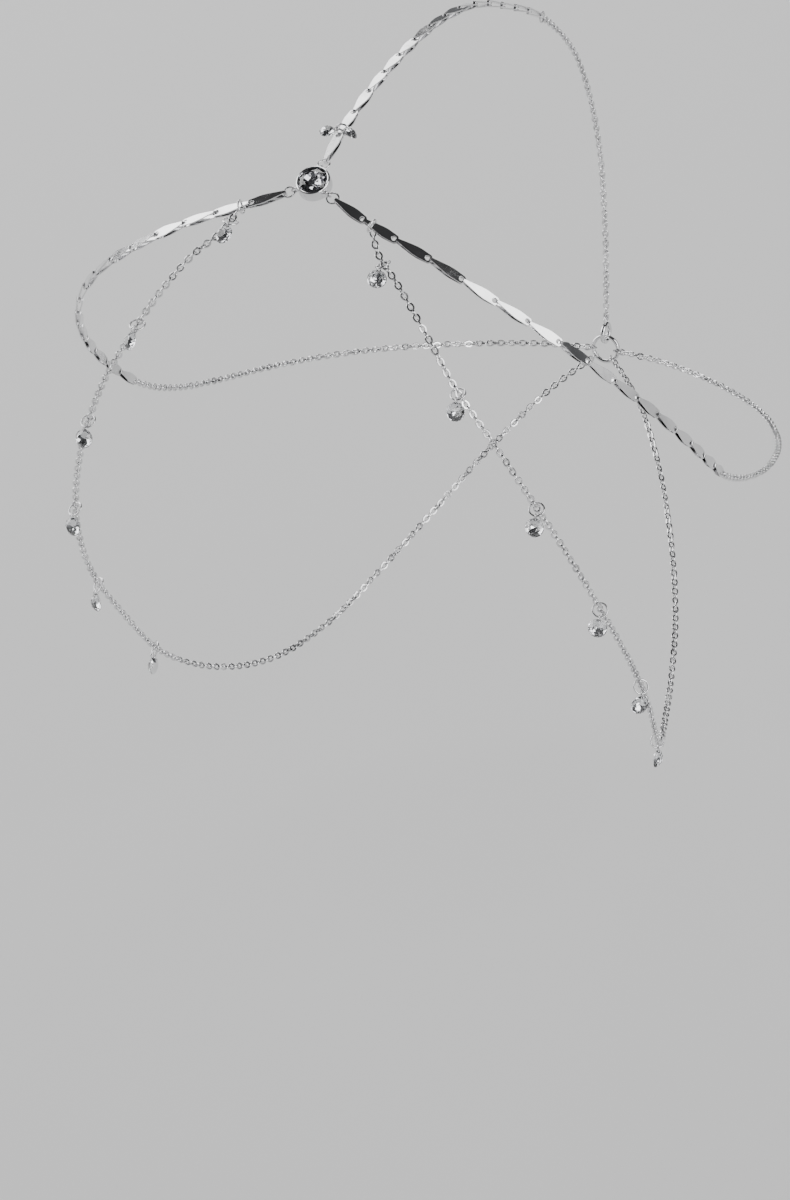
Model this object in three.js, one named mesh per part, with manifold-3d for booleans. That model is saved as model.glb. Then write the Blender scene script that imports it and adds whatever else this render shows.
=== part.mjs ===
// Head chain: a crystal in a bezel on the forehead, a fancy chain over the crown and one along
// each side, and a fine trace chain with crystal drops that hangs over each temple and cheek.
// Millimetres, +Z up, the front faces -Y. The origin is where the crown chain rests at its top.

import * as THREE from 'three';
import Module from 'manifold-3d';
import { mergeVertices } from 'three/addons/utils/BufferGeometryUtils.js';

// Centre stone and its bezel
const STONE_DIAMETER = 6.4;
const STONE_TABLE_DIAMETER = 3.6;
const STONE_CROWN_HEIGHT = 1.0;
const STONE_GIRDLE = 0.3;
const STONE_PAVILION = 1.5;
const STONE_SIDES = 12;
const BEZEL_SIDES = 16;
const BEZEL_WALL = 0.32;
const BEZEL_FLOOR = 0.4;
const BEZEL_LIP = 0.12;
const SEAT_GAP = 0.12;
const BASE_BELOW_CHAIN = 0.8;

// Round wire parts
const LOOP_DIAMETER = 1.6;
const LOOP_WIRE = 0.4;
const START_RING_DIAMETER = 2.9;
const START_RING_WIRE = 0.4;
const RING_GAP = 0.2;
const WIRE_SIDES = 5;
const RING_STEPS = 10;

// Fancy chain of folded leaf links
const LINK_PITCH = 8.0;
const CROWN_LINKS = 15;
const SIDE_LINKS = 16;
const LEAF_WIDTH = 2.1;
const LEAF_THICKNESS = 0.25;
const LEAF_WAIST = 0.78;
const LEAF_BELLY = 0.64;
const LINK_HOLE = 1.1;
const HOLE_SIDES = 5;
const LEAF_RIM = 0.42;
const LEAF_STACK = 0.55;
const FOLD_GAP = 0.1;
const LINK_BITE = 0.08;

// Trace chains, as round rods of the chain's outer size
const TRACE_WIDTH = 1.6;
const TRACE_STEP = 4.8;
const TRACE_SIDES = 8;
const END_GAP = 0.3;

// Rings on the chains
const JOINT_RING_DIAMETER = 2.7;
const JOINT_RING_WIRE = 0.4;
const BRANCH_RING_DIAMETER = 3.2;
const BRANCH_RING_WIRE = 0.42;
const BRANCH_ALONG_LINK = 1.9;
const DROP_RING_DIAMETER = 3.5;
const DROP_RING_WIRE = 0.4;

// Crystal drops
const CRYSTAL_DIAMETER = 4.0;
const CROWN_CRYSTAL_DIAMETER = 3.3;
const CRYSTAL_TABLE = 0.52;
const CRYSTAL_THICKNESS = 0.5;
const CRYSTAL_SIDES = 8;
const EYE_DIAMETER = 1.4;
const EYE_WIRE = 0.3;
const EYE_STEPS = 8;
const EYE_SINK = 0.35;
const EYE_SAG = 0.08;
const LEFT_FIRST_DROP = 8.8;
const RIGHT_FIRST_DROP = 3.6;
const DROP_SPACING = 30.6;
const DROP_LEAN = 36;
const DROP_SAG = 0.25;
// One row for each drop on a side, from the front: how much the crystal hangs aside of the
// chain, and how far it is turned on its eye in degrees
const DROPS = [
  { aside: 0.3, turn: 0 },
  { aside: 0.3, turn: 0 },
  { aside: 0.3, turn: 50 },
  { aside: 0.3, turn: 50 },
  { aside: 0.3, turn: 35 },
  { aside: 0.2, turn: 0 },
];
// The two crystals on the crown ring: across and outward parts of the way each one hangs
const CROWN_DROPS = [
  { name: 'right', across: 0.8, outward: 0.0, back: -0.6, turn: 0 },
  { name: 'left', across: -0.5, outward: 0.15, back: -0.85, turn: -40 },
];

// Back of the head
const BACK_RING_DIAMETER = 7.0;
const BACK_RING_WIRE = 0.9;
const BACK_STEPS = 16;
const CLASP_DIAMETER = 5.2;
const CLASP_WIRE = 1.1;
const CLASP_EYE_DIAMETER = 2.4;
const CLASP_EYE_WIRE = 0.5;

// The hollow that the chains lie round: an egg whose middle is HOLLOW_DROP under the origin
const HOLLOW_DROP = 87.3;
const HOLLOW_HALF_WIDTH = 70;
const HOLLOW_HALF_DEPTH = 95;
const HOLLOW_HALF_HEIGHT = 88;
const HOLLOW_LOWER_HEIGHT = 150;

const SIDES = [
  { name: 'left', sign: 1, firstDrop: LEFT_FIRST_DROP },
  { name: 'right', sign: -1, firstDrop: RIGHT_FIRST_DROP },
];

// Routes of the chains for the wearer's left side (+X); the right is mirrored. Each point is
// chosen in halves of the hollow's width, depth and height, from the hollow's middle. A drape
// starts in the middle of its branch ring, and its own points follow
const ROUTES = {
  crown: [
    [0, -0.5821, 0.8795], [0, -0.5116, 0.9182], [0, -0.44, 0.9455], [0, -0.2947, 0.9795],
    [0, -0.1474, 0.9977], [0, 0, 1.0023], [0, 0.1263, 0.9943], [0, 0.3084, 0.9523],
    [0, 0.4842, 0.8727], [0, 0.7, 0.7477], [0, 0.8937, 0.5545], [0, 1.0063, 0.2875],
    [0, 1.0358, 0.0375], [0, 1.0316, -0.1898], [0, 1.0211, -0.3182],
  ],
  side: [
    [0, -0.5821, 0.8795], [0.1086, -0.6137, 0.8523], [0.2229, -0.6347, 0.8193],
    [0.3729, -0.64, 0.7705], [0.5757, -0.6189, 0.6727], [0.7357, -0.5674, 0.567],
    [0.8557, -0.4863, 0.4477], [0.9371, -0.3853, 0.3193], [0.9814, -0.2695, 0.1898],
    [0.99, -0.1411, 0.0648], [0.9757, -0.0211, -0.033], [0.9629, 0.1368, -0.1159],
    [0.9371, 0.3158, -0.1784], [0.8571, 0.5263, -0.2295], [0.7, 0.7263, -0.2693],
    [0.4714, 0.8842, -0.2977], [0.2143, 0.9895, -0.3148], [0, 1.0211, -0.3182],
  ],
  drape: [
    [0.2471, -0.6695, 0.7761], [0.3329, -0.7042, 0.7148], [0.4414, -0.7337, 0.6045],
    [0.5271, -0.7453, 0.4966], [0.6271, -0.7305, 0.3682], [0.7243, -0.6916, 0.208],
    [0.7971, -0.6421, 0.0602], [0.8586, -0.5726, -0.1125], [0.8929, -0.4737, -0.2989],
    [0.88, -0.3474, -0.4852], [0.8343, -0.2158, -0.6625], [0.7571, -0.0526, -0.7807],
    [0.6714, 0.1263, -0.8375], [0.5929, 0.3158, -0.8261], [0.5143, 0.4947, -0.758],
    [0.4143, 0.6632, -0.6557], [0.2857, 0.8263, -0.525], [0.15, 0.9474, -0.4114],
    [0, 1.0211, -0.3182],
  ],
};

const wasm = await Module();
wasm.setup();

const silver = new THREE.MeshStandardMaterial({ color: 0xc9cbcd, roughness: 0.2, metalness: 1 });
const clearCrystal = new THREE.MeshStandardMaterial({ color: 0xe9edf0, roughness: 0.05, metalness: 0 });
const smokyCrystal = new THREE.MeshStandardMaterial({ color: 0x4a4b50, roughness: 0.05, metalness: 0 });

const degrees = THREE.MathUtils.degToRad;

// Solids

function toSolid(geometry) {
  const bare = new THREE.BufferGeometry();
  bare.setAttribute('position', geometry.getAttribute('position'));
  bare.setIndex(geometry.getIndex());
  const merged = mergeVertices(bare, 1e-5);
  return new wasm.Manifold(new wasm.Mesh({
    numProp: 3,
    vertProperties: Float32Array.from(merged.getAttribute('position').array),
    triVerts: Uint32Array.from(merged.getIndex().array),
  }));
}

function toGeometry(solid) {
  const mesh = solid.getMesh();
  const geometry = new THREE.BufferGeometry();
  geometry.setAttribute('position', new THREE.BufferAttribute(mesh.vertProperties, 3));
  geometry.setIndex(new THREE.BufferAttribute(mesh.triVerts, 1));
  geometry.computeVertexNormals();
  return geometry;
}

function joined(geometries) {
  return geometries.map(toSolid).reduce((whole, solid) => whole.add(solid));
}

function wireRing(outerDiameter, wire, steps = RING_STEPS) {
  return new THREE.TorusGeometry((outerDiameter - wire) / 2, wire / 2, WIRE_SIDES, steps);
}

// A mesh from rings of points, one above the other, closed by flat faces at both ends
function layered(rings) {
  const positions = rings.flat().flatMap((point) => point.toArray());
  const sides = rings[0].length;
  const index = [];
  for (let layer = 0; layer < rings.length - 1; layer += 1) {
    for (let i = 0; i < sides; i += 1) {
      const a = layer * sides + i;
      const b = layer * sides + (i + 1) % sides;
      index.push(a, b, b + sides);
      index.push(a, b + sides, a + sides);
    }
  }
  const top = (rings.length - 1) * sides;
  for (let i = 1; i < sides - 1; i += 1) {
    index.push(0, i + 1, i);
    index.push(top, top + i, top + i + 1);
  }
  const geometry = new THREE.BufferGeometry();
  geometry.setAttribute('position', new THREE.Float32BufferAttribute(positions, 3));
  geometry.setIndex(index);
  return geometry;
}

function circlePoints(radius, z, sides, turn) {
  return Array.from({ length: sides }, (_, i) => {
    const angle = ((i + turn) / sides) * 2 * Math.PI;
    return new THREE.Vector3(radius * Math.cos(angle), radius * Math.sin(angle), z);
  });
}

// Directions and frames on the hollow

function outwardAt(point) {
  const z = point.z + HOLLOW_DROP;
  const height = z > 0 ? HOLLOW_HALF_HEIGHT : HOLLOW_LOWER_HEIGHT;
  return new THREE.Vector3(
    point.x / HOLLOW_HALF_WIDTH ** 2,
    point.y / HOLLOW_HALF_DEPTH ** 2,
    z / height ** 2,
  ).normalize();
}

function placeOf(x, y, z) {
  return new THREE.Vector3(
    x * HOLLOW_HALF_WIDTH, y * HOLLOW_HALF_DEPTH, z * HOLLOW_HALF_HEIGHT - HOLLOW_DROP);
}

function routeOf(points, side, start = []) {
  const places = points.map(([x, y, z]) => placeOf(side * x, y, z));
  const curve = new THREE.CatmullRomCurve3([...start, ...places], false, 'centripetal');
  curve.arcLengthDivisions = 1200;
  return { curve, length: curve.getLength() };
}

function pointAt(route, distance) {
  return route.curve.getPointAt(distance / route.length);
}

// The part of a direction that is square to another, at unit length
function squareTo(direction, other) {
  return direction.clone().addScaledVector(other, -direction.dot(other)).normalize();
}

// Along the chain, across it and outward
function frameAt(route, distance) {
  const origin = pointAt(route, distance);
  const along = route.curve.getTangentAt(distance / route.length);
  const outward = squareTo(outwardAt(origin), along);
  const across = new THREE.Vector3().crossVectors(outward, along);
  return { origin, along, across, outward };
}

// X on the given direction, and Z as near as it can be to the hint
function aimed(direction, hint, origin) {
  const x = direction.clone().normalize();
  const z = squareTo(hint, x);
  const y = new THREE.Vector3().crossVectors(z, x);
  return new THREE.Matrix4().makeBasis(x, y, z).setPosition(origin);
}

const group = new THREE.Group();

function addMesh(name, geometry, material, matrix = new THREE.Matrix4()) {
  const mesh = new THREE.Mesh(geometry, material);
  mesh.name = name;
  mesh.applyMatrix4(matrix);
  group.add(mesh);
  return mesh;
}

// Centre setting: a bezel cup with a soldered loop for each strand

const bezelInner = STONE_DIAMETER / 2 + SEAT_GAP;
const bezelOuter = bezelInner + BEZEL_WALL;
const loopCentre = bezelOuter + LOOP_DIAMETER / 2 - 0.6 * LOOP_WIRE;
const stoneFloor = BEZEL_FLOOR + SEAT_GAP + STONE_PAVILION;
const bezelHeight = stoneFloor + STONE_GIRDLE + SEAT_GAP + 0.3 * STONE_CROWN_HEIGHT;

function bezelCup() {
  const lipRadius = STONE_DIAMETER / 2 - BEZEL_LIP;
  const profile = [
    [0, 0],
    [bezelOuter, 0],
    [bezelOuter, bezelHeight - BEZEL_WALL],
    [lipRadius + BEZEL_LIP, bezelHeight],
    [lipRadius, bezelHeight],
    [bezelInner, stoneFloor + STONE_GIRDLE + SEAT_GAP],
    [bezelInner, stoneFloor - SEAT_GAP],
    [bezelInner * 0.45, BEZEL_FLOOR],
    [0, BEZEL_FLOOR],
  ];
  const lathe = new THREE.LatheGeometry(profile.map(([r, z]) => new THREE.Vector2(r, z)), BEZEL_SIDES);
  return lathe.rotateX(Math.PI / 2);
}

function cutStone(diameter, table, sides, crown, girdle, pavilion, culet) {
  return layered([
    circlePoints(culet / 2, -pavilion, sides, 0.5),
    circlePoints(diameter / 2, 0, sides, 0),
    circlePoints(diameter / 2, girdle, sides, 0),
    circlePoints(table / 2, girdle + crown, sides, 0.5),
  ]);
}

const stoneOrigin = placeOf(...ROUTES.crown[0]);
const stoneOutward = outwardAt(stoneOrigin);
const stoneRight = new THREE.Vector3(1, 0, 0);

// Direction of a strand where it leaves the stone, flat in the plane of the stone
function strandDirection(route) {
  return squareTo(pointAt(route, LINK_PITCH).sub(stoneOrigin), stoneOutward);
}

function addSetting(routes) {
  const matrix = aimed(stoneRight, stoneOutward, stoneOrigin);
  const stoneUp = new THREE.Vector3().crossVectors(stoneOutward, stoneRight);
  const pieces = [bezelCup().translate(0, 0, -BASE_BELOW_CHAIN)];
  for (const route of routes) {
    const direction = strandDirection(route);
    const angle = Math.atan2(direction.dot(stoneUp), direction.dot(stoneRight));
    const loop = wireRing(LOOP_DIAMETER, LOOP_WIRE).rotateX(Math.PI / 2).translate(loopCentre, 0, 0);
    pieces.push(loop.rotateZ(angle));
  }
  addMesh('centre_setting', toGeometry(joined(pieces)), silver, matrix);
  const stone = cutStone(STONE_DIAMETER, STONE_TABLE_DIAMETER, STONE_SIDES,
    STONE_CROWN_HEIGHT, STONE_GIRDLE, STONE_PAVILION, 0.4);
  stone.translate(0, 0, stoneFloor - BASE_BELOW_CHAIN);
  addMesh('centre_stone', stone, smokyCrystal, matrix);
}

// Start rings: flat rings through the loops, which the first links fold over

const startRingRadius = (START_RING_DIAMETER - START_RING_WIRE) / 2;
const startRingFar = loopCentre + 2 * startRingRadius;
const firstFold = startRingFar - START_RING_WIRE / 2 - RING_GAP;

function addStartRing(name, route) {
  const loop = stoneOrigin.clone().addScaledVector(strandDirection(route), loopCentre);
  const direction = pointAt(route, startRingFar).sub(loop).normalize();
  const centre = loop.addScaledVector(direction, startRingRadius);
  const ring = wireRing(START_RING_DIAMETER, START_RING_WIRE);
  addMesh(`start_ring_${name}`, ring, silver, aimed(direction, outwardAt(centre), centre));
}

// Fancy link: two leaves that a fold joins at the narrow end, each with a hole at the wide end

const leafSpread = LEAF_STACK / 2;
const foldMiddle = leafSpread + LEAF_THICKNESS + FOLD_GAP;
const holeCentre = LINK_PITCH - LINK_HOLE / 2;
const leafSlope = Math.atan((foldMiddle - leafSpread) / holeCentre);

function outlined(path, points) {
  points.forEach(([x, y], i) => (i === 0 ? path.moveTo(x, y) : path.lineTo(x, y)));
  return path;
}

function leafPlate(side) {
  const endRadius = LINK_HOLE / 2 + LEAF_RIM;
  const half = [
    [-LEAF_THICKNESS, LEAF_WAIST / 2],
    [LEAF_BELLY * LINK_PITCH, LEAF_WIDTH / 2],
    [holeCentre + 0.5 * endRadius, 0.87 * endRadius],
  ];
  const tip = [holeCentre + 1.15 * endRadius, 0];
  const mirrored = half.map(([x, y]) => [x, -y]);
  const shape = outlined(new THREE.Shape(), [...mirrored, tip, ...half.toReversed()]);
  const corner = LINK_HOLE / 2 / Math.cos(Math.PI / HOLE_SIDES);
  const middle = holeCentre - side * LINK_BITE;
  const hole = circlePoints(corner, 0, HOLE_SIDES, 0.5).map(({ x, y }) => [middle + x, y]);
  shape.holes.push(outlined(new THREE.Path(), hole));
  const plate = new THREE.ExtrudeGeometry(shape, { depth: LEAF_THICKNESS, bevelEnabled: false });
  plate.translate(0, 0, -LEAF_THICKNESS / 2);
  return plate.rotateY(side * leafSlope).translate(0, 0, side * foldMiddle);
}

function foldStrip() {
  const inset = 0.1 * LEAF_THICKNESS;
  const width = LEAF_WAIST - 2 * inset;
  const strip = new THREE.BoxGeometry(LEAF_THICKNESS - inset, width, 2 * foldMiddle);
  return strip.translate((inset - LEAF_THICKNESS) / 2, 0, 0);
}

const fancyLink = joined([leafPlate(1), leafPlate(-1), foldStrip()]);

function addFancyChain(name, route, count) {
  let chain = null;
  for (let i = 0; i < count; i += 1) {
    const start = firstFold + i * LINK_PITCH;
    const { origin, outward } = frameAt(route, start);
    const along = pointAt(route, start + LINK_PITCH).sub(origin);
    const link = toSolid(toGeometry(fancyLink).applyMatrix4(aimed(along, outward, origin)));
    chain = chain ? chain.add(link) : link;
  }
  addMesh(name, toGeometry(chain), silver);
}

// Joint ring through the last link's hole, and the trace chain that goes on from it

function jointRingCentre(count) {
  const fancyEnd = firstFold + count * LINK_PITCH - LINK_BITE;
  return fancyEnd - RING_GAP - JOINT_RING_WIRE + JOINT_RING_DIAMETER / 2;
}

function addJointRing(name, route, count) {
  const frame = frameAt(route, jointRingCentre(count));
  const ring = wireRing(JOINT_RING_DIAMETER, JOINT_RING_WIRE);
  addMesh(`joint_ring_${name}`, ring, silver, aimed(frame.along, frame.across, frame.origin));
}

function traceRod(route, start, end) {
  const steps = Math.ceil((end - start) / TRACE_STEP);
  const points = Array.from({ length: steps + 1 }, (_, i) =>
    pointAt(route, start + ((end - start) * i) / steps));
  const corners = circlePoints(TRACE_WIDTH / 2, 0, TRACE_SIDES, 0.5).map(({ x, y }) => [x, y]);
  const section = outlined(new THREE.Shape(), corners);
  const extrudePath = new THREE.CatmullRomCurve3(points, false, 'centripetal');
  return new THREE.ExtrudeGeometry(section, { steps, extrudePath, bevelEnabled: false });
}

function addTrace(name, route, start, endGap) {
  addMesh(name, traceRod(route, start, route.length - endGap), silver);
}

// Crystal drops: a crystal with an eye at its edge, hung on a ring round the chain

const eyeRadius = (EYE_DIAMETER - EYE_WIRE) / 2;

function crystal(diameter) {
  const half = (diameter * CRYSTAL_THICKNESS) / 2;
  const table = (diameter * CRYSTAL_TABLE) / 2;
  return layered([
    circlePoints(table, -half, CRYSTAL_SIDES, 0),
    circlePoints(diameter / 2, 0, CRYSTAL_SIDES, 0.5),
    circlePoints(table, half, CRYSTAL_SIDES, 0),
  ]);
}

function addCrystal(name, ring, hang, outward, diameter, turn) {
  const low = squareTo(hang, ring.axis);
  const wire = new THREE.Vector3().crossVectors(ring.axis, low);
  const down = squareTo(hang, wire);
  const eye = ring.centre.clone().addScaledVector(low, ring.radius).addScaledVector(down, EYE_SAG);
  const face = squareTo(outward, down).applyAxisAngle(down, degrees(turn));
  const side = new THREE.Vector3().crossVectors(face, down);
  const eyeTurn = Math.atan2(-wire.dot(side), wire.dot(face));
  const solid = joined([
    wireRing(EYE_DIAMETER, EYE_WIRE, EYE_STEPS).rotateX(eyeTurn),
    crystal(diameter).translate(diameter / 2 + EYE_SINK, 0, 0),
  ]);
  addMesh(name, toGeometry(solid), clearCrystal, aimed(down, face, eye));
}

// Down, and where the hollow's surface faces up, down along it
function hangAt(outward) {
  const down = new THREE.Vector3(0, 0, -1);
  return down.addScaledVector(outward, Math.max(outward.z, 0)).normalize();
}

function addDrop(name, route, distance, sign, drop) {
  const { origin, along, across, outward } = frameAt(route, distance);
  const lean = degrees(DROP_LEAN);
  const axis = along.multiplyScalar(Math.cos(lean)).addScaledVector(outward, -Math.sin(lean));
  const hang = hangAt(outward).addScaledVector(across, -sign * drop.aside).normalize();
  const low = squareTo(hang, axis);
  const centre = origin.addScaledVector(low, DROP_SAG);
  addMesh(`drop_ring_${name}`, wireRing(DROP_RING_DIAMETER, DROP_RING_WIRE), silver,
    aimed(low, axis, centre));
  const ring = { centre, axis, radius: (DROP_RING_DIAMETER - DROP_RING_WIRE) / 2 };
  addCrystal(`drop_crystal_${name}`, ring, hang, outward, CRYSTAL_DIAMETER, sign * drop.turn);
}

// Rings round the second link: one for the crystals over the stone, one for each drape

const branchDistance = firstFold + LINK_PITCH + BRANCH_ALONG_LINK;

function addBranchRing(name, route) {
  const { origin, along, across, outward } = frameAt(route, branchDistance);
  const ring = wireRing(BRANCH_RING_DIAMETER, BRANCH_RING_WIRE);
  addMesh(name, ring, silver, aimed(across, along, origin));
  return {
    centre: origin, axis: along, across, outward, radius: (BRANCH_RING_DIAMETER - BRANCH_RING_WIRE) / 2,
  };
}

function addCrownDrops(route) {
  const ring = addBranchRing('crown_drop_ring', route);
  for (const { name, across, outward, back, turn } of CROWN_DROPS) {
    const hang = ring.across.clone().multiplyScalar(across)
      .addScaledVector(ring.outward, outward).addScaledVector(ring.axis, back).normalize();
    addCrystal(`crown_crystal_${name}`, ring, hang, ring.outward, CROWN_CRYSTAL_DIAMETER, turn);
  }
}

// Back ring, where the five strands meet, and the clasp that holds the crown strand to it

const backRadius = (BACK_RING_DIAMETER - BACK_RING_WIRE) / 2;
const claspRadius = (CLASP_DIAMETER - CLASP_WIRE) / 2;
const claspOffset = backRadius + claspRadius - (CLASP_WIRE + BACK_RING_WIRE) / 2 - RING_GAP;
const claspEyeOffset = claspRadius + (CLASP_EYE_DIAMETER - CLASP_EYE_WIRE) / 2;
const backReach = BACK_RING_DIAMETER / 2 + END_GAP;
const claspReach = claspOffset + claspEyeOffset + CLASP_EYE_DIAMETER / 2 + END_GAP;

function addBack(route) {
  const centre = pointAt(route, route.length);
  const towards = pointAt(route, route.length - claspReach).sub(centre).normalize();
  const across = new THREE.Vector3(1, 0, 0);
  const outward = new THREE.Vector3().crossVectors(towards, across);
  addMesh('back_ring', wireRing(BACK_RING_DIAMETER, BACK_RING_WIRE, BACK_STEPS), silver,
    aimed(towards, outward, centre));
  const clasp = joined([
    wireRing(CLASP_DIAMETER, CLASP_WIRE, BACK_STEPS),
    wireRing(CLASP_EYE_DIAMETER, CLASP_EYE_WIRE, EYE_STEPS).translate(claspEyeOffset, 0, 0),
  ]);
  const claspCentre = centre.clone().addScaledVector(towards, claspOffset);
  addMesh('clasp', toGeometry(clasp), silver, aimed(towards, across, claspCentre));
}

// Build

const jointReach = JOINT_RING_DIAMETER / 2 + END_GAP;
const drapeStart = BRANCH_RING_DIAMETER / 2 + END_GAP;

const crown = routeOf(ROUTES.crown, 1);
const strands = SIDES.map(({ name, sign, firstDrop }) => {
  const side = routeOf(ROUTES.side, sign);
  const drape = routeOf(ROUTES.drape, sign, [pointAt(side, branchDistance)]);
  return { name, sign, firstDrop, side, drape };
});

addSetting([crown, ...strands.map(({ side }) => side)]);
addStartRing('crown', crown);
addFancyChain('crown_chain', crown, CROWN_LINKS);
addJointRing('crown', crown, CROWN_LINKS);
addTrace('crown_trace', crown, jointRingCentre(CROWN_LINKS) + jointReach, claspReach);
addCrownDrops(crown);

for (const { name, sign, firstDrop, side, drape } of strands) {
  addStartRing(name, side);
  addFancyChain(`side_chain_${name}`, side, SIDE_LINKS);
  addJointRing(name, side, SIDE_LINKS);
  addTrace(`side_trace_${name}`, side, jointRingCentre(SIDE_LINKS) + jointReach, backReach);
  addBranchRing(`branch_ring_${name}`, side);
  addTrace(`drape_chain_${name}`, drape, drapeStart, backReach);
  DROPS.forEach((drop, i) => {
    addDrop(`${name}_${i + 1}`, drape, firstDrop + i * DROP_SPACING, sign, drop);
  });
}

addBack(crown);

export default group;
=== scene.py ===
import math

import bmesh
import bpy
import numpy as np
from bpy.props import FloatProperty, FloatVectorProperty, PointerProperty
from bpy.types import Operator, Panel, PropertyGroup
from mathutils import Matrix, Vector


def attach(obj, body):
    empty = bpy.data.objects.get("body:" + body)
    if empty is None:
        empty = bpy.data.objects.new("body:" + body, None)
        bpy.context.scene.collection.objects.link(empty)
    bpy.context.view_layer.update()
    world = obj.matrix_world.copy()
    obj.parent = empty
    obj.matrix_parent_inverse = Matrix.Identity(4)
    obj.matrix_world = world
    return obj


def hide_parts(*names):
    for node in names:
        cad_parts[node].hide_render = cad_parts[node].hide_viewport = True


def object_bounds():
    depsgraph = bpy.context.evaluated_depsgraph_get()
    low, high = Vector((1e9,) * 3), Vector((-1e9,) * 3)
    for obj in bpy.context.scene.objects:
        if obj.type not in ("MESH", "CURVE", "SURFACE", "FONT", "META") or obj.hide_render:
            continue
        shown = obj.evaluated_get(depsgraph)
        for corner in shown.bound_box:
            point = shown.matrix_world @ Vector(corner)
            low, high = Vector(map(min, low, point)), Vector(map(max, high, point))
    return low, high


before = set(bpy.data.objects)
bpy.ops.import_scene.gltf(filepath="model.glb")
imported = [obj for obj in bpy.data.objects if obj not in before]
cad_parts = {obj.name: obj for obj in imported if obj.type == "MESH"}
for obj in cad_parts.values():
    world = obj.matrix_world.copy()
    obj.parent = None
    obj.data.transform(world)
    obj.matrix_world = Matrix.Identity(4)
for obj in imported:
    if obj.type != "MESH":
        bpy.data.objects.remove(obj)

bl_info = {
    "name": "Head chain",
    "version": (1, 0, 0),
    "blender": (4, 5, 0),
    "location": "View3D > Sidebar > Head chain",
    "description": "Finishes a head chain: links, rings, cut crystals, stone and studio",
    "category": "Object",
}

CAD_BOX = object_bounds()
MM = 0.001

# The hollow that the chains lie round, in mm: half sizes, and how far its middle is under the origin
HOLLOW_DROP = 87.3
HOLLOW_HALF_WIDTH = 70
HOLLOW_HALF_DEPTH = 95
HOLLOW_HALF_HEIGHT = 88
HOLLOW_LOWER_HEIGHT = 150

# Routes of the chains for the wearer's left side, in halves of the hollow's width, depth and height.
# A drape starts in the middle of its branch ring, and its own points follow
ROUTES = {
    "crown": [
        (0, -0.5821, 0.8795), (0, -0.5116, 0.9182), (0, -0.44, 0.9455), (0, -0.2947, 0.9795),
        (0, -0.1474, 0.9977), (0, 0, 1.0023), (0, 0.1263, 0.9943), (0, 0.3084, 0.9523),
        (0, 0.4842, 0.8727), (0, 0.7, 0.7477), (0, 0.8937, 0.5545), (0, 1.0063, 0.2875),
        (0, 1.0358, 0.0375), (0, 1.0316, -0.1898), (0, 1.0211, -0.3182),
    ],
    "side": [
        (0, -0.5821, 0.8795), (0.1086, -0.6137, 0.8523), (0.2229, -0.6347, 0.8193),
        (0.3729, -0.64, 0.7705), (0.5757, -0.6189, 0.6727), (0.7357, -0.5674, 0.567),
        (0.8557, -0.4863, 0.4477), (0.9371, -0.3853, 0.3193), (0.9814, -0.2695, 0.1898),
        (0.99, -0.1411, 0.0648), (0.9757, -0.0211, -0.033), (0.9629, 0.1368, -0.1159),
        (0.9371, 0.3158, -0.1784), (0.8571, 0.5263, -0.2295), (0.7, 0.7263, -0.2693),
        (0.4714, 0.8842, -0.2977), (0.2143, 0.9895, -0.3148), (0, 1.0211, -0.3182),
    ],
    "drape": [
        (0.2471, -0.6695, 0.7761), (0.3329, -0.7042, 0.7148), (0.4414, -0.7337, 0.6045),
        (0.5271, -0.7453, 0.4966), (0.6271, -0.7305, 0.3682), (0.7243, -0.6916, 0.208),
        (0.7971, -0.6421, 0.0602), (0.8586, -0.5726, -0.1125), (0.8929, -0.4737, -0.2989),
        (0.88, -0.3474, -0.4852), (0.8343, -0.2158, -0.6625), (0.7571, -0.0526, -0.7807),
        (0.6714, 0.1263, -0.8375), (0.5929, 0.3158, -0.8261), (0.5143, 0.4947, -0.758),
        (0.4143, 0.6632, -0.6557), (0.2857, 0.8263, -0.525), (0.15, 0.9474, -0.4114),
        (0, 1.0211, -0.3182),
    ],
}

# Sizes in mm that the solids have too
STONE_DIAMETER = 6.4
STONE_SEAT = 1.22
BEZEL_INNER = 3.32
BEZEL_OUTER = 3.64
BEZEL_BOTTOM = -0.8
BEZEL_TOP = 1.94
LOOP_DIAMETER, LOOP_WIRE = 1.6, 0.4
LOOP_CENTRE = 4.2
START_RING_DIAMETER, START_RING_WIRE = 2.9, 0.4
RING_GAP = 0.2
LINK_PITCH = 8.0
CROWN_LINKS, SIDE_LINKS = 15, 16
LEAF_WIDTH, LEAF_WAIST, LEAF_THICKNESS = 2.1, 0.78, 0.25
LEAF_BELLY = 0.64
LINK_HOLE, LEAF_RIM = 1.1, 0.42
LEAF_SPREAD = 0.275
FOLD_MIDDLE = 0.625
LINK_BITE = 0.08
JOINT_RING_DIAMETER, JOINT_RING_WIRE = 2.7, 0.4
BRANCH_RING_DIAMETER, BRANCH_RING_WIRE = 3.2, 0.42
BRANCH_ALONG_LINK = 1.9
DROP_RING_DIAMETER, DROP_RING_WIRE = 3.5, 0.4
CRYSTAL_DIAMETER, CROWN_CRYSTAL_DIAMETER = 4.0, 3.3
CRYSTAL_TABLE, CRYSTAL_THICKNESS = 0.52, 0.5
EYE_DIAMETER, EYE_WIRE, EYE_SINK, EYE_SAG = 1.4, 0.3, 0.35, 0.08
DROP_SPACING, DROP_LEAN, DROP_SAG = 30.6, 36, 0.25
DROPS = [(0.3, 0), (0.3, 0), (0.3, 50), (0.3, 50), (0.3, 35), (0.2, 0)]
CROWN_DROPS = {"right": (0.8, 0.0, -0.6, 0), "left": (-0.5, 0.15, -0.85, -40)}
BACK_RING_DIAMETER, BACK_RING_WIRE = 7.0, 0.9
CLASP_DIAMETER, CLASP_WIRE = 5.2, 1.1
CLASP_EYE_DIAMETER, CLASP_EYE_WIRE = 2.4, 0.5
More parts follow.
